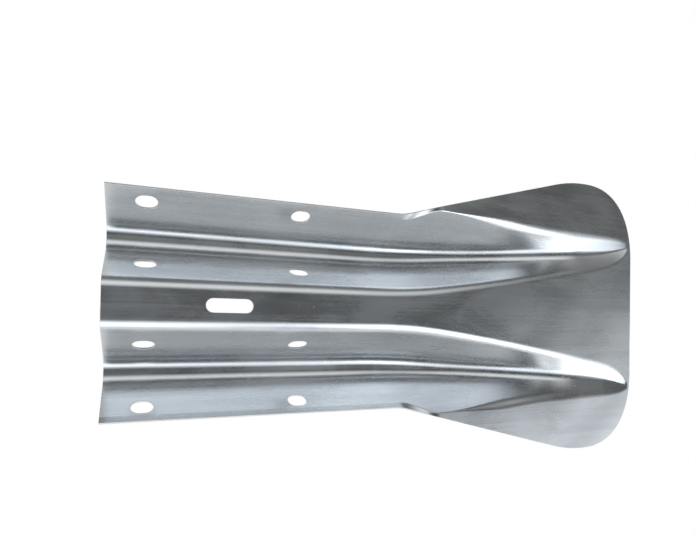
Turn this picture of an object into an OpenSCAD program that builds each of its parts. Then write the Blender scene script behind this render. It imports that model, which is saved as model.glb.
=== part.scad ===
// Flared guardrail end terminal.
// One steel sheet pressed to a two-wave section at the splice end, with both waves
// fading out into a wide flat nose with rounded corners.
// Installed attitude: +X runs along the rail to the nose, +Z is up, +Y faces the traffic.
// The origin is the centre of the post slot, on the back face of the middle web.

/* [Sheet] */

// Sheet thickness
sheet_t = 3.0; // [2.5:0.1:4.5]
// Overall length from the splice end to the nose edge
overall_length = 916; // [740:2:1100]
// Width over the two outer edges along the straight part
rail_width = 307; // [256:1:368]
// Depth from the back of the web to the front of the waves
rail_depth = 83; // [69:1:100]

/* [Wave section] */

// Half width of the flat middle web, measured to its bend corner
web_half = 29.5; // [24:0.5:35]
// Distance from the centre line to the middle of each wave
wave_centre = 93.5; // [80:0.5:110]
// Width across the top of each wave, between its two bend corners
wave_top = 29; // [24:0.5:34]
// Bend radius at the top of each wave, at the middle of the sheet
wave_radius = 22; // [14:0.5:28]
// Bend radius between the web and the inner slope
web_radius = 18; // [12:0.5:22]
// Bend radius between the outer slope and the edge lip
lip_radius = 10; // [4:0.5:14]
// Bend radius between the fading wave and the flat wing
wing_radius = 23; // [16:1:28]
// Width of the edge lip, measured along it
lip_width = 9.5; // [8:0.5:14]
// Angle of the edge lip off the plane of the web, a little flatter than the outer slope
lip_angle = 50; // [40:1:54]
// How far the lip bend stands in front of the web
lip_rise = 23; // [18:1:30]

/* [Nose] */

// Greatest width across the flared nose
nose_width = 482; // [402:1:578]
// Distance from the splice end to where the waves begin to fade
fade_start = 430; // [350:5:520]
// Gap between the wave tips and the nose edge
tip_gap = 8; // [5:1:40]
// Distance from the centre line to each wave tip
tip_height = 131; // [110:1:160]
// Length of the rounded nose corners along the rail
corner_length = 121; // [101:1:155]
// Height of the straight part of the nose edge
nose_flat = 195; // [160:5:235]
// Fullness of the rounded nose corners, where 2 is an ellipse
corner_power = 2.4; // [2:0.05:3]

/* [Holes] */

// Distance from the splice end to the first column of splice slots
splice_first = 51; // [42:0.5:62]
// Distance between the two columns of splice slots
splice_pitch = 216; // [180:1:260]
// Distance across the rail from the web bend corner to the inner row of slots
inner_row_up = 24.5; // [20:0.5:30]
// Distance across the rail from the outer edge to the outer row of slots
outer_row_in = 15; // [12.5:0.5:18]
// Length of a splice slot along the rail
splice_slot_length = 29; // [24:0.5:35]
// Width of a splice slot across the rail
splice_slot_width = 23; // [19:0.5:27]
// Length of the post slot
post_slot_length = 63.5; // [52:0.5:76]
// Width of the post slot
post_slot_width = 19; // [16:0.5:23]

/* [Hidden] */

// post slot centre, half way between the two splice columns
post_at = splice_first + splice_pitch / 2;
// depth of the waves at the middle of the sheet
mid_depth = rail_depth - sheet_t;
// half width of the straight part
edge_half = rail_width / 2;
// distance from the splice end to the wave tips
fade_end = overall_length - tip_gap;
// start of the rounded nose corners
corner_start = overall_length - corner_length;
// half the length over which the fade sets in
fade_ease = 60;
// the edges begin to flare just past the start of the fade
flare_start = fade_start + 3;
// length over which the flare begins, and over which it eases to straight
flare_begin = 24;
flare_ease = 66;
// slope of the flared edges, which takes them out to the nose width
flare_slope = (nose_width / 2 - edge_half) / (corner_start - flare_ease / 2 - flare_start);
// the lips begin to run out into the flat wings just past the start of the fade
lip_end_at = fade_start + 5;
// blend length over which they run out
lip_blend = 60;
// at the tip, how far the foot of the wave reaches in towards the web and out to the wing
tip_in = 6;
tip_out = 6;
// how far the outer foot of the wave stays out past the tip until it closes in
foot_out = 15.5;
// where the bend into the wing starts to widen, after the start of the fade, and over what length
wing_bend_at = 80;
wing_bend_ease = 130;
// share of the depth that is lost in a first sink, and the part of the fade where it ends
sink_share = 0.73;
sink_end = 0.77;
// share of each wave's lean to its tip that comes late
lean_share = 0.38;
// share of the web corner's way out that is left to the tip, and how late it closes there
close_share = 0.27;
close_power = 24;
// half width of the top of the wave at its tip
tip_half = 1;
// share of the web and wing bends that is lost towards the tip
bend_loss = 0.75;
// least distance kept between the bend corners where the outline closes in on them
corner_gap = 3;
// points on each rounded bend
web_pts = 5;
wave_pts = 7;
lip_pts = 5;
// number of stations along the fading part and round the nose corners
fade_steps = 30;
corner_steps = 12;

// value held between 0 and 1
function clamp01(v) = min(1, max(0, v));
// smooth step from 0 to 1
function ease(v) = let (c = clamp01(v)) c * c * (3 - 2 * c);
// length that starts at nought before a and grows as u - (a + b) / 2 from b on
function ramp(a, b, u) = let (c = min(max(u, a), b)) (c - a) * (c - a) / 2 / (b - a) + max(0, u - b);
// share of the fade that has passed at distance u from the splice end
function fade(u) =
    clamp01(ramp(fade_start - fade_ease, fade_start + fade_ease, u) / (fade_end - fade_start));

// corner of the inner slope with the top of the wave, along the straight part
crest_in0 = wave_centre - wave_top / 2;
// corner of the top of the wave with the outer slope, along the straight part
crest_out0 = wave_centre + wave_top / 2;
// bend between the outer slope and the lip, along the straight part
lip_bend0 = edge_half - lip_width * cos(lip_angle);
// angles of the inner and outer slopes off the plane of the web
inner_angle = atan2(mid_depth, crest_in0 - web_half);
outer_angle = atan2(mid_depth - lip_rise, lip_bend0 - crest_out0);
// the outer slope carried on down to the plane of the web
wing_bend0 = lip_bend0 + lip_rise / tan(outer_angle);

// web corner at distance u: it moves out almost evenly, then closes on the tip
function web_z(u) = let (v = fade(u))
    web_half + (tip_height - tip_in - web_half)
    * ((1 - close_share) * pow(v, 1.15) + close_share * pow(v, close_power));
// centre of the wave at distance u: it leans out to the tip
function wave_z(u) = let (v = fade(u))
    wave_centre + (tip_height - wave_centre) * ((1 - lean_share) * v + lean_share * pow(v, 9));
// depth of the wave at distance u: it sinks fastest half way, and closes bluntly at the tip
function wave_d(u) = let (v = fade(u))
    mid_depth * (sink_share * (1 - ease(pow(v / sink_end, 1.4)))
    + (1 - sink_share) * pow(1 - v * v, 0.65));
// half width of the top of the wave at distance u
function crest_h(u) = let (v = fade(u))
    wave_top / 2 * pow(1 - pow(v, 1.5), 1.2) + tip_half * v;
// how far the lips have run out into the wings at distance u
function run_out(u) = ease((u - lip_end_at) / lip_blend);
// bend between the wave and the lip or wing at distance u: it starts as the lip bend, goes over
// to the foot of the outer slope, draws in as the wave sinks, and closes on the tip
function wing_z(u) = let (v = fade(u), r = run_out(u), foot = tip_height + foot_out)
    lip_bend0 * (1 - r) - (foot_out - tip_out) * pow(v, close_power)
    + (foot + (wing_bend0 - foot) * (1 - pow(ease(v / 0.6), 1.5))) * r;
// how far that bend stands in front of the web
function wing_y(u) = lip_rise * (1 - run_out(u));
// outer edge before the rounded corners: straight, then flared
function flare_z(u) = let (
    a = flare_start - flare_begin / 2, b = flare_start + flare_begin / 2,
    c = corner_start - flare_ease, d = corner_start)
    edge_half + flare_slope * (ramp(a, b, u) - ramp(c, d, u));
// rounded corner of the nose
function corner_z(u) = let (s = clamp01((u - corner_start) / corner_length))
    nose_flat / 2 + (nose_width - nose_flat) / 2
    * pow(1 - pow(s, corner_power), 1 / corner_power);
// outer edge, and how far it stands in front of the web
function edge_z(u) = u <= corner_start ? flare_z(u) : corner_z(u);
function edge_y(u) = (lip_rise - lip_width * sin(lip_angle)) * (1 - run_out(u));

// points of a circular bend at corner k between p and q, with tangent length t
function bend(p, k, q, t, n) = let (
    a = (p - k) / norm(p - k),
    b = (q - k) / norm(q - k),
    s = min(t, 0.48 * norm(p - k), 0.48 * norm(q - k)),
    w = sqrt(max(0, (1 - a * b) / 2)))
    [for (i = [0 : n - 1]) let (
        h = i / (n - 1),
        c0 = (1 - h) * (1 - h), c1 = 2 * h * (1 - h) * w, c2 = h * h)
        (c0 * (k + a * s) + c1 * k + c2 * (k + b * s)) / (c0 + c1 + c2)];

// tangent lengths of the bends along the straight part
web_tan = web_radius * tan(inner_angle / 2);
in_tan = wave_radius * tan(inner_angle / 2);
out_tan = wave_radius * tan(outer_angle / 2);
lip_tan = lip_radius * tan((outer_angle - lip_angle) / 2);
// tangent length of the bend between the fading wave and the wing
wing_tan = wing_radius * tan(outer_angle / 2);
// share of that wider bend at distance u
function wing_share(u) = ease((u - fade_start - wing_bend_at) / wing_bend_ease);

// upper half of the middle line of the section at distance u, as [z, y]
function half_line(u) = let (
    e = edge_z(u),
    f = 1 - bend_loss * pow(fade(u), 2),
    g = wing_share(u),
    k0 = [0, 0],
    k1 = [min(web_z(u), e - 4 * corner_gap), 0],
    k2 = [min(wave_z(u) - crest_h(u), e - 3 * corner_gap), wave_d(u)],
    k3 = [min(wave_z(u) + crest_h(u), e - 2 * corner_gap), wave_d(u)],
    k4 = [min(wing_z(u), e - corner_gap), wing_y(u)],
    k5 = [e, edge_y(u)])
    concat([k0], bend(k0, k1, k2, web_tan * f, web_pts),
        bend(k1, k2, k3, in_tan, wave_pts),
        bend(k2, k3, k4, out_tan, wave_pts),
        bend(k3, k4, k5, lip_tan * (1 - g) + wing_tan * f * g, lip_pts), [k5]);

// whole middle line, from the lower edge to the upper edge
function full_line(u) = let (h = half_line(u), n = len(h))
    concat([for (i = [n - 1 : -1 : 1]) [-h[i][0], h[i][1]]], h);

// unit normal of the middle line at point i, facing the traffic
function line_normal(l, i) = let (
    n = len(l) - 1,
    d = l[min(n, i + 1)] - l[max(0, i - 1)],
    m = norm(d))
    [-d[1] / m, d[0] / m];

// stations along the rail, closer together where the outline turns
stations = concat([0, fade_start - fade_ease - 20],
    [for (i = [0 : fade_steps]) let (h = i / fade_steps)
        fade_start - fade_ease + (corner_start - fade_start + fade_ease) * h],
    [for (i = [1 : corner_steps]) corner_start + corner_length * sin(90 * i / corner_steps)]);

// one skin of the sheet at a station, offset by half the thickness
function skin(u, side) = let (l = full_line(u))
    [for (i = [0 : len(l) - 1]) let (n = line_normal(l, i))
        [u - post_at, sheet_t / 2 + l[i][1] + n[1] * side * sheet_t / 2,
            l[i][0] + n[0] * side * sheet_t / 2]];

module pressed_sheet() {
    ns = len(stations);
    np = len(full_line(0));
    row = 2 * np;
    pts = [for (s = stations) each concat(skin(s, -1), skin(s, 1))];
    faces = concat(
        [for (s = [0 : ns - 2], i = [0 : np - 2]) let (a = s * row + i)
            each [[a, a + 1, a + row + 1], [a, a + row + 1, a + row]]],
        [for (s = [0 : ns - 2], i = [0 : np - 2]) let (a = s * row + np + i)
            each [[a, a + row + 1, a + 1], [a, a + row, a + row + 1]]],
        [for (s = [0 : ns - 2]) let (a = s * row, b = a + np)
            each [[a, a + row, b + row], [a, b + row, b]]],
        [for (s = [0 : ns - 2]) let (a = s * row + np - 1, b = a + np)
            each [[a, b + row, a + row], [a, b, b + row]]],
        [for (i = [0 : np - 2]) each [[i, np + i, np + i + 1], [i, np + i + 1, i + 1]]],
        [for (i = [0 : np - 2]) let (a = (ns - 1) * row + i, b = a + np)
            each [[a, b + 1, b], [a, a + 1, b + 1]]]);
    polyhedron(points = pts, faces = faces, convexity = 6);
}

// a slot along X with its axis along Y
module slot_tool(length, width, reach) {
    run = length - width;
    rotate([90, 0, 0]) translate([0, 0, -reach / 2]) {
        translate([-run / 2, 0, 0]) cylinder(d = width, h = reach, $fn = 64);
        translate([run / 2, 0, 0]) cylinder(d = width, h = reach, $fn = 64);
        translate([-run / 2, -width / 2, 0]) cube([run, width, reach]);
    }
}

// the two rows of splice slots: distance from the centre line, and place of the sheet there
inner_row = web_half + inner_row_up;
outer_row = edge_half - outer_row_in;
inner_row_y = inner_row_up * tan(inner_angle) + sheet_t / 2;
outer_row_y = lip_rise + (lip_bend0 - outer_row) * tan(outer_angle) + sheet_t / 2;

module splice_slots() {
    for (x = [splice_first, splice_first + splice_pitch], s = [-1, 1]) {
        translate([x - post_at, inner_row_y, s * inner_row])
            rotate([-s * inner_angle, 0, 0])
                slot_tool(splice_slot_length, splice_slot_width, 24);
        translate([x - post_at, outer_row_y, s * outer_row])
            rotate([s * outer_angle, 0, 0])
                slot_tool(splice_slot_length, splice_slot_width, 24);
    }
}

// the pressed sheet with its punched slots
module terminal_plate() {
    color([0.62, 0.64, 0.66])
    difference() {
        pressed_sheet();
        splice_slots();
        translate([0, sheet_t / 2, 0]) slot_tool(post_slot_length, post_slot_width, 24);
    }
}

// which piece to draw

terminal_plate();
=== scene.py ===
"""Flared end terminal for a two-wave guardrail: one pressed sheet of satin steel, in metres.

The sheet is built again here from the section rules of the part's source, with a fine mesh, rounded
cut edges and a slight unevenness, and gets a brushed steel material.
"""

import math

import bpy
import numpy as np
from mathutils import Matrix, Vector


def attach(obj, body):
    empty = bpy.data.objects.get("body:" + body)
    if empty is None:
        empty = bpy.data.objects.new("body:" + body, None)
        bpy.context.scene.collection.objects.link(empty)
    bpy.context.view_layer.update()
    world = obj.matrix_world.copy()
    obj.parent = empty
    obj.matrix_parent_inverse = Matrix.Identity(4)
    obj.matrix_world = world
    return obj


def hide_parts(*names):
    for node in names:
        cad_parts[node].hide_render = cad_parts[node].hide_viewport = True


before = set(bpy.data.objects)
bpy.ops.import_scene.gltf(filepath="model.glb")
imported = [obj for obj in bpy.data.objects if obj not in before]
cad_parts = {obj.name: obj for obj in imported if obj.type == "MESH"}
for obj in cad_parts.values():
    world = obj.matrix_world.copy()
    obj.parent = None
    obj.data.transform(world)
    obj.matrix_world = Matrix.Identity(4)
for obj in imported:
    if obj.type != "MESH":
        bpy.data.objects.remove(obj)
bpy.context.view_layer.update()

MM = 0.001

# ---- driving sizes of the sheet, in millimetres, as in the part's source ----
SHEET_T = 3.0
OVERALL_LENGTH = 916.0
RAIL_WIDTH = 307.0
RAIL_DEPTH = 83.0
WEB_HALF = 29.5
WAVE_CENTRE = 93.5
WAVE_TOP = 29.0
WAVE_RADIUS = 22.0
WEB_RADIUS = 18.0
LIP_RADIUS = 10.0
WING_RADIUS = 23.0
LIP_WIDTH = 9.5
LIP_ANGLE = math.radians(50)
LIP_RISE = 23.0
NOSE_WIDTH = 482.0
FADE_START = 430.0
TIP_GAP = 8.0
TIP_HEIGHT = 131.0
CORNER_LENGTH = 121.0
NOSE_FLAT = 195.0
CORNER_POWER = 2.4
SPLICE_FIRST = 51.0
SPLICE_PITCH = 216.0
INNER_ROW_UP = 24.5
OUTER_ROW_IN = 15.0
SPLICE_SLOT = (29.0, 23.0)
POST_SLOT = (63.5, 19.0)
EDGE_ROUND = 0.45
NOSE_LIFT = 0.26

# ---- sizes that follow from them ----
POST_AT = SPLICE_FIRST + SPLICE_PITCH / 2
MID_DEPTH = RAIL_DEPTH - SHEET_T
EDGE_HALF = RAIL_WIDTH / 2
FADE_END = OVERALL_LENGTH - TIP_GAP
CORNER_START = OVERALL_LENGTH - CORNER_LENGTH
FLARE_START = FADE_START + 3
FLARE_BEGIN = 24.0
FLARE_EASE = 66.0
FLARE_SLOPE = (NOSE_WIDTH / 2 - EDGE_HALF) / (CORNER_START - FLARE_EASE / 2 - FLARE_START)
LIP_END_AT = FADE_START + 5
LIP_BLEND = 60.0
FADE_EASE = 60.0
TIP_IN = 6.0
TIP_OUT = 6.0
FOOT_OUT = 15.5
TIP_HALF = 1.0
WING_BEND_AT = 80.0
WING_BEND_EASE = 130.0
CREST_IN = WAVE_CENTRE - WAVE_TOP / 2
CREST_OUT = WAVE_CENTRE + WAVE_TOP / 2
LIP_BEND = EDGE_HALF - LIP_WIDTH * math.cos(LIP_ANGLE)
INNER_ANGLE = math.atan2(MID_DEPTH, CREST_IN - WEB_HALF)
OUTER_ANGLE = math.atan2(MID_DEPTH - LIP_RISE, LIP_BEND - CREST_OUT)
WING_BEND = LIP_BEND + LIP_RISE / math.tan(OUTER_ANGLE)
WEB_TAN = WEB_RADIUS * math.tan(INNER_ANGLE / 2)
IN_TAN = WAVE_RADIUS * math.tan(INNER_ANGLE / 2)
OUT_TAN = WAVE_RADIUS * math.tan(OUTER_ANGLE / 2)
LIP_TAN = LIP_RADIUS * math.tan((OUTER_ANGLE - LIP_ANGLE) / 2)
WING_TAN = WING_RADIUS * math.tan(OUTER_ANGLE / 2)


# ---- how the section changes along the rail; u is the distance from the splice end ----
def ease(v):
    c = np.clip(v, 0, 1)
    return c * c * (3 - 2 * c)


def ramp(a, b, u):
    c = np.clip(u, a, b)
    return (c - a) ** 2 / 2 / (b - a) + np.maximum(0, u - b)


def fade(u):
    run = ramp(FADE_START - FADE_EASE, FADE_START + FADE_EASE, u)
    return np.clip(run / (FADE_END - FADE_START), 0, 1)


def web_z(u):
    v = fade(u)
    return WEB_HALF + (TIP_HEIGHT - TIP_IN - WEB_HALF) * (0.73 * v**1.15 + 0.27 * v**24)


def wave_z(u):
    v = fade(u)
    return WAVE_CENTRE + (TIP_HEIGHT - WAVE_CENTRE) * (0.62 * v + 0.38 * v**9)


def wave_d(u):
    v = fade(u)
    return MID_DEPTH * (0.73 * (1 - ease((v / 0.77) ** 1.4)) + 0.27 * (1 - v**2) ** 0.65)


def crest_half(u):
    v = fade(u)
    return WAVE_TOP / 2 * (1 - v**1.5) ** 1.2 + TIP_HALF * v


def run_out(u):
    return ease((u - LIP_END_AT) / LIP_BLEND)


def wing_z(u):
    v = fade(u)
    r = run_out(u)
    foot = TIP_HEIGHT + FOOT_OUT
    flat = foot + (WING_BEND - foot) * (1 - ease(v / 0.6) ** 1.5)
    return LIP_BEND * (1 - r) + flat * r - (FOOT_OUT - TIP_OUT) * v**24


def wing_share(u):
    return ease((u - FADE_START - WING_BEND_AT) / WING_BEND_EASE)


def edge_z(u):
    a = FLARE_START - FLARE_BEGIN / 2
    b = FLARE_START + FLARE_BEGIN / 2
    c = CORNER_START - FLARE_EASE
    d = CORNER_START
    run = ramp(a, b, np.minimum(u, d)) - ramp(c, d, np.minimum(u, d))
    s = np.clip((u - CORNER_START) / CORNER_LENGTH, 0, 1)
    rounded = (NOSE_WIDTH - NOSE_FLAT) / 2 * (1 - s**CORNER_POWER) ** (1 / CORNER_POWER)
    return np.where(u <= d, EDGE_HALF + FLARE_SLOPE * run, NOSE_FLAT / 2 + rounded)


def edge_y(u):
    return (LIP_RISE - LIP_WIDTH * math.sin(LIP_ANGLE)) * (1 - run_out(u))


# ---- the middle of the sheet ----
# w runs along half the section: flats lie between even and odd numbers, bends between odd and even
def corners(u):
    """The six corners of half the section at u, as (z, y)."""
    e = edge_z(u)
    d = wave_d(u)
    zero = np.zeros_like(u)
    return [
        np.stack([zero, zero], -1),
        np.stack([np.minimum(web_z(u), e - 12), zero], -1),
        np.stack([np.minimum(wave_z(u) - crest_half(u), e - 9), d], -1),
        np.stack([np.minimum(wave_z(u) + crest_half(u), e - 6), d], -1),
        np.stack([np.minimum(wing_z(u), e - 3), LIP_RISE * (1 - run_out(u))], -1),
        np.stack([e, edge_y(u)], -1),
    ]


def bend(p, k, q, tangent):
    """Start, corner, end and weight of the circular bend at k between p and q."""
    to_p = np.linalg.norm(p - k, axis=-1, keepdims=True)
    to_q = np.linalg.norm(q - k, axis=-1, keepdims=True)
    a = (p - k) / to_p
    b = (q - k) / to_q
    s = np.minimum(np.minimum(tangent[..., None], 0.48 * to_p), 0.48 * to_q)
    weight = np.sqrt(np.maximum(0, (1 - (a * b).sum(-1, keepdims=True)) / 2))
    return k + a * s, k, k + b * s, weight


def half_section(u, w):
    """Point (z, y) of the middle of the sheet at u and w, where w is 0 to 9."""
    k = corners(u)
    f = 1 - 0.75 * fade(u) ** 2
    g = wing_share(u)
    reach = (WEB_TAN * f, IN_TAN + 0 * f, OUT_TAN + 0 * f, LIP_TAN * (1 - g) + WING_TAN * f * g)
    bends = [bend(k[i], k[i + 1], k[i + 2], t) for i, t in enumerate(reach)]
    starts = [k[0]] + [b[2] for b in bends]
    ends = [b[0] for b in bends] + [k[5]]
    part = np.clip(np.floor(w), 0, 8)
    h = (w - part)[..., None]
    point = np.zeros(u.shape + (2,))
    for i in range(5):
        here = (part == 2 * i)[..., None]
        point = np.where(here, starts[i] * (1 - h) + ends[i] * h, point)
    for i, (p0, p1, p2, weight) in enumerate(bends):
        here = (part == 2 * i + 1)[..., None]
        c0 = (1 - h) ** 2
        c1 = 2 * h * (1 - h) * weight
        c2 = h**2
        point = np.where(here, (c0 * p0 + c1 * p1 + c2 * p2) / (c0 + c1 + c2), point)
    return point


def unevenness(u, z):
    """How far the pressed sheet strays from its true shape toward the traffic, in millimetres."""
    flat = ease((u - FADE_START - 60) / 200)
    long_waves = 0.05 * np.sin(u / 61 + 0.7) * np.cos(z / 47 + 0.4)
    long_waves += 0.03 * np.sin(u / 29 + z / 53 + 1.1)
    nose = 0.16 * np.sin(u / 37 + 1.9 * np.sin(z / 71)) * np.sin(z / 33 + 0.6)
    nose += 0.10 * np.sin(u / 21 - z / 27)
    return long_waves + flat * (nose + NOSE_LIFT)


def middle(u, w):
    """Point of the middle of the sheet, in millimetres in the part's frame; w is -9 to 9."""
    zy = half_section(u, np.abs(w))
    z = np.where(w < 0, -1, 1) * zy[..., 0]
    y = SHEET_T / 2 + zy[..., 1] + unevenness(u, z)
    return np.stack([u - POST_AT, y, z], -1)


def tangents(u, w):
    """Unit directions along u and across the section, and the unit normal facing the traffic."""
    du = 0.05
    dw = 0.004
    u_lo = np.clip(u - du, 0, OVERALL_LENGTH)
    u_hi = np.clip(u + du, 0, OVERALL_LENGTH)
    along = middle(u_hi, w) - middle(u_lo, w)
    across = middle(u, np.clip(w + dw, -9, 9)) - middle(u, np.clip(w - dw, -9, 9))
    along /= np.linalg.norm(along, axis=-1, keepdims=True)
    across /= np.linalg.norm(across, axis=-1, keepdims=True)
    normal = np.cross(across, along)
    normal /= np.linalg.norm(normal, axis=-1, keepdims=True)
    return along, across, normal


# ---- where the slots lie on the flat blank: s is the distance along the section ----
def length_table():
    """Length along the straight section from the middle of the web to w = 0, 1, ... 9."""
    fine = np.linspace(0, 9, 9 * 40 + 1)
    points = half_section(np.zeros_like(fine), fine)
    steps = np.linalg.norm(np.diff(points, axis=0), axis=1)
    return fine, np.concatenate([[0], np.cumsum(steps)])


FINE_W, FINE_S = length_table()


def w_of(s):
    return np.sign(s) * np.interp(np.abs(s), FINE_S, FINE_W)


def s_of(w):
    return np.sign(w) * np.interp(np.abs(w), FINE_W, FINE_S)


INNER_S = s_of(2) + INNER_ROW_UP / math.cos(INNER_ANGLE) - WEB_TAN
OUTER_S = s_of(7) - ((LIP_BEND - EDGE_HALF + OUTER_ROW_IN) / math.cos(OUTER_ANGLE) - LIP_TAN)

# lines of the mesh that frame the slots
SLOT_MARGIN = 6.0
POST_W = w_of(POST_SLOT[1] / 2 + SLOT_MARGIN)
SPLICE_REACH = SPLICE_SLOT[1] / 2 + SLOT_MARGIN
INNER_W = (w_of(INNER_S - SPLICE_REACH), w_of(INNER_S + SPLICE_REACH))
OUTER_W = (w_of(OUTER_S - SPLICE_REACH), 8.3)
POST_FRAME = 42.0
SPLICE_FRAME = 24.0


def spaced(stops, counts):
    """Values from the first stop to the last, with so many steps between each two."""
    values = [stops[0]]
    for a, b, n in zip(stops, stops[1:], counts):
        values += list(np.linspace(a, b, n + 1)[1:])
    return np.array(values)


def columns():
    stops = [0, POST_W, 1, 2, INNER_W[0], INNER_W[1], 3, 4, 5, 6, OUTER_W[0], 7, 8, OUTER_W[1], 9]
    half = spaced(stops, [4, 2, 8, 6, 9, 5, 10, 4, 10, 6, 7, 6, 2, 8])
    return np.concatenate([-half[:0:-1], half])


def slot_frames():
    """Each slot's centre (u, s), its size, and the mesh lines round it: (u0, u1, w0, w1)."""
    found = [((POST_AT, 0.0), POST_SLOT, (POST_AT - POST_FRAME, POST_AT + POST_FRAME, -POST_W, POST_W))]
    for u in (SPLICE_FIRST, SPLICE_FIRST + SPLICE_PITCH):
        for side in (-1, 1):
            for s, lines in ((INNER_S, INNER_W), (OUTER_S, OUTER_W)):
                w0, w1 = sorted((side * lines[0], side * lines[1]))
                found.append(((u, side * s), SPLICE_SLOT, (u - SPLICE_FRAME, u + SPLICE_FRAME, w0, w1)))
    return found


def rows(frames):
    stops = sorted({0, FADE_START - FADE_EASE, CORNER_START} | {f[2][i] for f in frames for i in (0, 1)})
    counts = [max(1, round((b - a) / (5.0 if b < FADE_START else 4.0))) for a, b in zip(stops, stops[1:])]
    turn = CORNER_START + CORNER_LENGTH * np.sin(np.linspace(0, math.pi / 2, 31)[1:])
    return np.concatenate([spaced(stops, counts), turn])


class Sheet:
    """Collects the middle surface as points (u, w), faces and the loops of its edges; sheet_mesh gives it
    its thickness.
    """

    def __init__(self):
        self.u = []
        self.w = []
        self.faces = []
        self.loops = []

    def add(self, u, w):
        first = len(self.u)
        self.u += list(np.ravel(u))
        self.w += list(np.ravel(w))
        return np.arange(first, len(self.u)).reshape(np.shape(u))

    def strip(self, a, b):
        """Faces between two closed rings of the same number of points."""
        n = len(a)
        for i in range(n):
            j = (i + 1) % n
            self.faces.append((a[i], a[j], b[j], b[i]))


def index_of(values, value):
    return int(np.argmin(np.abs(values - value)))


def ring_of(grid, r0, r1, c0, c1):
    """The closed ring of grid points round a block of rows and columns."""
    ring = list(grid[r0, c0:c1])
    ring += list(grid[r0:r1, c1])
    ring += list(grid[r1, c1:c0:-1])
    ring += list(grid[r1:r0:-1, c0])
    return ring


def slot_outline(u, s, centre, size):
    """The points of a slot's outline that face the points (u, s), in the flat blank."""
    run = (size[0] - size[1]) / 2
    core = np.clip(u - centre[0], -run, run) + centre[0]
    away = np.stack([u - core, s - centre[1]], -1)
    away /= np.linalg.norm(away, axis=-1, keepdims=True)
    reach = size[1] / 2
    return core + away[:, 0] * reach, centre[1] + away[:, 1] * reach


def build_middle():
    sheet = Sheet()
    frames = slot_frames()
    row = rows(frames)
    col = columns()
    grid = sheet.add(*np.meshgrid(row, col, indexing="ij"))
    holes = np.zeros((len(row) - 1, len(col) - 1), bool)
    for centre, size, (u0, u1, w0, w1) in frames:
        r0, r1 = index_of(row, u0), index_of(row, u1)
        c0, c1 = index_of(col, w0), index_of(col, w1)
        holes[r0:r1, c0:c1] = True
        outer = ring_of(grid, r0, r1, c0, c1)
        add_slot(sheet, outer, centre, size)
    for i, j in zip(*np.nonzero(~holes)):
        sheet.faces.append((grid[i, j], grid[i, j + 1], grid[i + 1, j + 1], grid[i + 1, j]))
    used = np.unique(np.array(sheet.faces))
    rim = ring_of(grid, 0, len(row) - 1, 0, len(col) - 1)
    sheet.loops.append(rim)
    return sheet, used


def add_slot(sheet, outer, centre, size, rings=4):
    """Rings of faces from the frame of a slot in to its rounded edge."""
    u = np.array([sheet.u[i] for i in outer])
    s = s_of(np.array([sheet.w[i] for i in outer]))
    in_u, in_s = slot_outline(u, s, centre, size)
    before = outer
    for k in range(1, rings + 1):
        h = 1 - (1 - k / rings) ** 1.3
        ring = list(sheet.add(u + (in_u - u) * h, w_of(s + (in_s - s) * h)))
        sheet.strip(before, ring)
        before = ring
    sheet.loops.append(before[::-1])


def sheet_mesh():
    """Vertices in metres, faces, vertex normals, and which vertices are on a cut edge."""
    sheet, used = build_middle()
    u = np.array(sheet.u)
    w = np.array(sheet.w)
    centre = middle(u, w)
    _, _, normal = tangents(u, w)
    inset = centre.copy()
    outward = np.zeros_like(centre)
    for loop in sheet.loops:
        p = centre[loop]
        run = np.roll(p, -1, axis=0) - np.roll(p, 1, axis=0)
        b = np.cross(run, normal[loop])
        b /= np.linalg.norm(b, axis=1, keepdims=True)
        outward[loop] = b
        inset[loop] = p - b * EDGE_ROUND
    half = SHEET_T / 2
    slot_of = np.full(len(u), -1)
    slot_of[used] = np.arange(len(used))
    n = len(used)
    points = [inset[used] + normal[used] * half, inset[used] - normal[used] * half]
    normals = [normal[used], -normal[used]]
    quads = slot_of[np.array(sheet.faces)]
    faces = [quads, quads[:, ::-1] + n]
    first = 2 * n
    for loop in sheet.loops:
        p, b, up = inset[loop], outward[loop], normal[loop]
        ids = [slot_of[loop]]
        turns = [(side, a) for side, angles in ((1, (30, 60, 90)), (-1, (90, 60, 30))) for a in angles]
        for side, degrees in turns:
            a = math.radians(degrees)
            direction = b * math.sin(a) + up * side * math.cos(a)
            points.append(p + up * side * (half - EDGE_ROUND) + direction * EDGE_ROUND)
            normals.append(direction)
            ids.append(np.arange(first, first + len(loop)))
            first += len(loop)
        ids.append(slot_of[loop] + n)
        for a, c in zip(ids, ids[1:]):
            faces.append(np.stack([a, c, np.roll(c, -1), np.roll(a, -1)], 1))
    cut = np.arange(first) >= 2 * n
    return np.concatenate(points) * MM, np.concatenate(faces), np.concatenate(normals), cut


def make_sheet():
    points, faces, normals, cut = sheet_mesh()
    mesh = bpy.data.meshes.new("pressed_sheet")
    mesh.from_pydata(points.tolist(), [], faces.tolist())
    mesh.validate()
    mesh.shade_smooth()
    mesh.normals_split_custom_set_from_vertices(normals.tolist())
    mesh.update()
    mark = mesh.attributes.new("cut_edge", "FLOAT", "POINT")
    mark.data.foreach_set("value", cut.astype(np.float32))
    piece = bpy.data.objects.new("pressed_sheet", mesh)
    bpy.context.scene.collection.objects.link(piece)
    return piece


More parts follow.
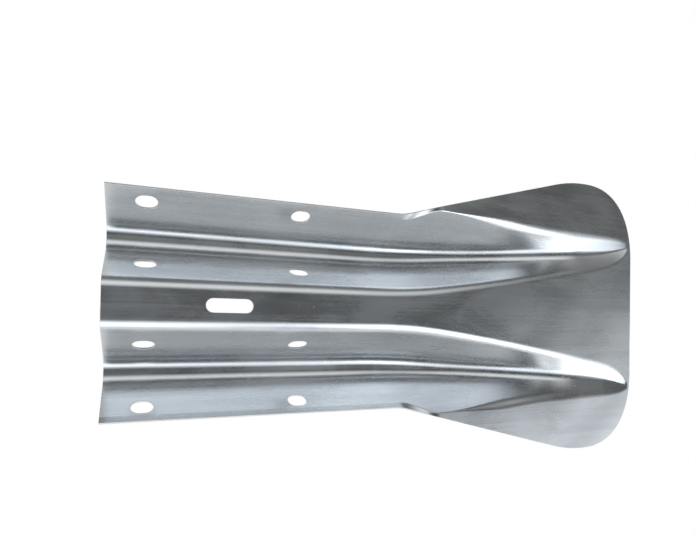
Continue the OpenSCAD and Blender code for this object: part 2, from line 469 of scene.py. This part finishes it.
# ---- node helpers ----
class Nodes:
    """Short calls for building a node tree."""

    def __init__(self, tree):
        self.tree = tree

    def add(self, kind, links=None, **settings):
        node = self.tree.nodes.new(kind)
        for name, value in settings.items():
            setattr(node, name, value)
        for name, value in (links or {}).items():
            socket = node.inputs[name]
            if isinstance(value, bpy.types.NodeSocket):
                self.tree.links.new(value, socket)
            else:
                socket.default_value = value
        return node

    def math(self, operation, a, b=0.0):
        return self.add("ShaderNodeMath", {0: a, 1: b}, operation=operation).outputs[0]

    def product(self, *factors):
        result = factors[0]
        for factor in factors[1:]:
            result = self.math("MULTIPLY", result, factor)
        return result

    def remap(self, value, low, high, to_low, to_high):
        links = {"Value": value, "From Min": low, "From Max": high, "To Min": to_low, "To Max": to_high}
        return self.add("ShaderNodeMapRange", links, interpolation_type="SMOOTHSTEP").outputs[0]

    def noise(self, vector, scale, detail=3.0, rough=0.5, distortion=0.0):
        links = {"Vector": vector, "Scale": scale, "Detail": detail}
        links.update({"Roughness": rough, "Distortion": distortion})
        return self.add("ShaderNodeTexNoise", links).outputs["Fac"]

    def stretched(self, vector, scale):
        return self.add("ShaderNodeMapping", {"Vector": vector, "Scale": scale}).outputs[0]

    def mix_colour(self, factor, a, b):
        node = self.add("ShaderNodeMix", {0: factor}, data_type="RGBA")
        for socket, value in ((node.inputs[6], a), (node.inputs[7], b)):
            if isinstance(value, bpy.types.NodeSocket):
                self.tree.links.new(value, socket)
            else:
                socket.default_value = value
        return node.outputs[2]


def steel():
    """Satin bare steel: lengthwise brushing, cloudy patches, pale specks and a duller cut edge."""
    material = bpy.data.materials.new("satin_steel")
    material.use_nodes = True
    material.node_tree.nodes.clear()
    n = Nodes(material.node_tree)
    place = n.add("ShaderNodeTexCoord").outputs["Object"]
    cut = n.add("ShaderNodeAttribute", attribute_name="cut_edge").outputs["Fac"]
    brushed = n.noise(n.stretched(place, (5, 420, 420)), 1.0, 3.0, 0.6)
    clouds = n.noise(n.stretched(place, (7, 14, 14)), 1.0, 4.0, 0.55, 0.6)
    streaks = n.noise(n.stretched(place, (3, 90, 90)), 1.0, 2.0, 0.5)
    specks = n.remap(n.noise(place, 190.0, 1.0, 0.4), 0.735, 0.76, 0.0, 1.0)
    rare = n.remap(n.noise(place, 14.0, 1.0, 0.5), 0.56, 0.64, 0.0, 1.0)
    dots = n.product(specks, rare)
    tone = n.math("ADD", n.remap(clouds, 0.3, 0.7, 0.0, 0.7), n.remap(streaks, 0.3, 0.7, 0.0, 0.3))
    bare = n.mix_colour(tone, (0.53, 0.55, 0.57, 1), (0.67, 0.69, 0.71, 1))
    colour = n.mix_colour(n.math("MAXIMUM", dots, cut), bare, (0.72, 0.72, 0.71, 1))
    worn = n.math("ADD", n.remap(clouds, 0.3, 0.7, 0.24, 0.30), n.remap(brushed, 0.3, 0.7, -0.02, 0.02))
    rough = n.math("ADD", worn, n.math("MULTIPLY", n.math("MAXIMUM", dots, cut), 0.3))
    along = n.add("ShaderNodeSeparateXYZ", {0: place}).outputs[0]
    drawn = n.math("MULTIPLY", n.remap(along, 0.34, 0.42, 0.0, 1.0), n.remap(along, 0.58, 0.66, 1.0, 0.0))
    marks = n.product(streaks, n.math("ADD", n.math("MULTIPLY", drawn, 7.0), 2.0))
    height = n.math("ADD", n.math("MULTIPLY", brushed, 0.4), marks)
    bump = n.add("ShaderNodeBump", {"Height": height, "Strength": 0.02, "Distance": 0.0004}).outputs[0]
    shader = n.add(
        "ShaderNodeBsdfPrincipled",
        {"Base Color": colour, "Roughness": rough, "Normal": bump, "Metallic": 1.0},
    )
    n.add("ShaderNodeOutputMaterial", {"Surface": shader.outputs[0]})
    return material


# ---- the studio ----
CAMERA_AT = (-0.1101, -0.68485, -0.0187)
CAMERA_YAW = math.radians(21.71)
CAMERA_PITCH = math.radians(0.87)
CAMERA_ROLL = math.radians(0.98)
FLOOR_Z = -0.60


def make_camera():
    data = bpy.data.cameras.new("camera")
    data.sensor_width = 36.0
    data.lens = 25.86
    data.shift_x = 0.0092
    data.shift_y = 0.066
    data.clip_start = 0.02
    camera = bpy.data.objects.new("camera", data)
    forward = Vector((math.sin(CAMERA_YAW), math.cos(CAMERA_YAW), 0))
    right = Vector((math.cos(CAMERA_YAW), -math.sin(CAMERA_YAW), 0))
    level_up = Vector((0, 0, 1))
    aim = forward * math.cos(CAMERA_PITCH) + level_up * math.sin(CAMERA_PITCH)
    tipped_up = level_up * math.cos(CAMERA_PITCH) - forward * math.sin(CAMERA_PITCH)
    x_axis = right * math.cos(CAMERA_ROLL) + tipped_up * math.sin(CAMERA_ROLL)
    y_axis = tipped_up * math.cos(CAMERA_ROLL) - right * math.sin(CAMERA_ROLL)
    turn = Matrix((x_axis, y_axis, -aim)).transposed().to_4x4()
    camera.matrix_world = Matrix.Translation(CAMERA_AT) @ turn
    bpy.context.scene.collection.objects.link(camera)
    bpy.context.scene.camera = camera


def make_floor():
    mesh = bpy.data.meshes.new("floor")
    x0, x1, y0, y1 = -4.0, 5.0, -0.25, 6.0
    corners_of = [(x0, y0, FLOOR_Z), (x1, y0, FLOOR_Z), (x1, y1, FLOOR_Z), (x0, y1, FLOOR_Z)]
    mesh.from_pydata(corners_of, [], [(0, 1, 2, 3)])
    floor = bpy.data.objects.new("floor", mesh)
    material = bpy.data.materials.new("pale_floor")
    material.use_nodes = True
    material.node_tree.nodes.clear()
    n = Nodes(material.node_tree)
    paint = n.add("ShaderNodeBsdfDiffuse", {"Color": (0.82, 0.82, 0.82, 1)})
    glow = n.add("ShaderNodeEmission", {"Color": (1, 1, 1, 1), "Strength": 1.0})
    path = n.add("ShaderNodeLightPath")
    seen = n.math("MAXIMUM", path.outputs["Is Camera Ray"], path.outputs["Is Glossy Ray"])
    both = n.add("ShaderNodeMixShader", {0: seen, 1: paint.outputs[0], 2: glow.outputs[0]})
    n.add("ShaderNodeOutputMaterial", {"Surface": both.outputs[0]})
    mesh.materials.append(material)
    bpy.context.scene.collection.objects.link(floor)


def make_world():
    """White where the camera looks; for light, a soft room: a bright band low in front, a milder
    one high in front that ends to the right, a dim wall between them, and a grey wall behind.
    A direction is told by its angle up, in degrees from level in front, and by x toward the nose.
    """
    world = bpy.data.worlds.new("studio")
    bpy.context.scene.world = world
    world.use_nodes = True
    world.node_tree.nodes.clear()
    n = Nodes(world.node_tree)
    way = n.add("ShaderNodeSeparateXYZ", {0: n.add("ShaderNodeTexCoord").outputs["Generated"]})
    x, y, z = way.outputs
    turn = n.math("ARCTAN2", z, n.math("MULTIPLY", y, -1.0))
    up = n.math("MULTIPLY", turn, 180 / math.pi)
    low_level = n.math("ADD", n.remap(x, 0.05, 0.28, 2.1, 0.3), n.remap(x, 0.38, 0.47, 0.0, 2.4))
    low = n.product(
        n.remap(up, -40, -12, 1.0, 0.0),
        n.remap(up, -80, -56, 0.4, 1.0),
        n.remap(x, 0.54, 0.62, 1.0, 0.45),
        low_level,
    )
    high = n.product(
        n.remap(up, 4, 32, 0.0, 1.12),
        n.remap(up, 42, 66, 1.0, 0.15),
        n.remap(x, 0.45, 0.58, 1.0, 0.05),
    )
    below_level = n.math("ADD", n.remap(x, 0.08, 0.28, 0.0, 1.1), n.remap(x, 0.42, 0.50, 0.0, 1.0))
    below = n.product(
        n.remap(up, -24, -8, 1.0, 0.0),
        n.remap(up, -58, -40, 0.0, 1.0),
        n.remap(x, 0.55, 0.62, 1.0, 0.0),
        below_level,
    )
    right = n.product(n.remap(x, 0.64, 0.76, 0.0, 1.0), n.remap(up, -24, 16, 1.25, 0.06))
    behind = n.product(n.remap(y, 0.0, 0.4, 0.0, 1.0), n.remap(z, -0.4, 0.6, 0.16, 0.6))
    front = n.math("ADD", n.math("ADD", low, high), below)
    level = n.math("ADD", front, n.math("ADD", right, behind))
    strength = n.math("ADD", level, 0.05)
    tint = n.mix_colour(n.remap(up, -30, 20, 0, 1), (0.94, 0.99, 1.03, 1), (0.99, 1.0, 0.99, 1))
    room = n.add("ShaderNodeBackground", {"Color": tint, "Strength": strength})
    white = n.add("ShaderNodeBackground", {"Color": (1, 1, 1, 1), "Strength": 1.0})
    seen = n.add("ShaderNodeLightPath").outputs["Is Camera Ray"]
    both = n.add("ShaderNodeMixShader", {0: seen, 1: room.outputs[0], 2: white.outputs[0]})
    n.add("ShaderNodeOutputWorld", {"Surface": both.outputs[0]})


def main():
    make_camera()
    make_floor()
    make_world()
    piece = make_sheet()
    piece.data.materials.append(steel())
    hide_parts("terminal_plate")
    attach(piece, "root")
    bpy.context.scene.view_settings.view_transform = "Standard"
    bpy.context.view_layer.update()


main()
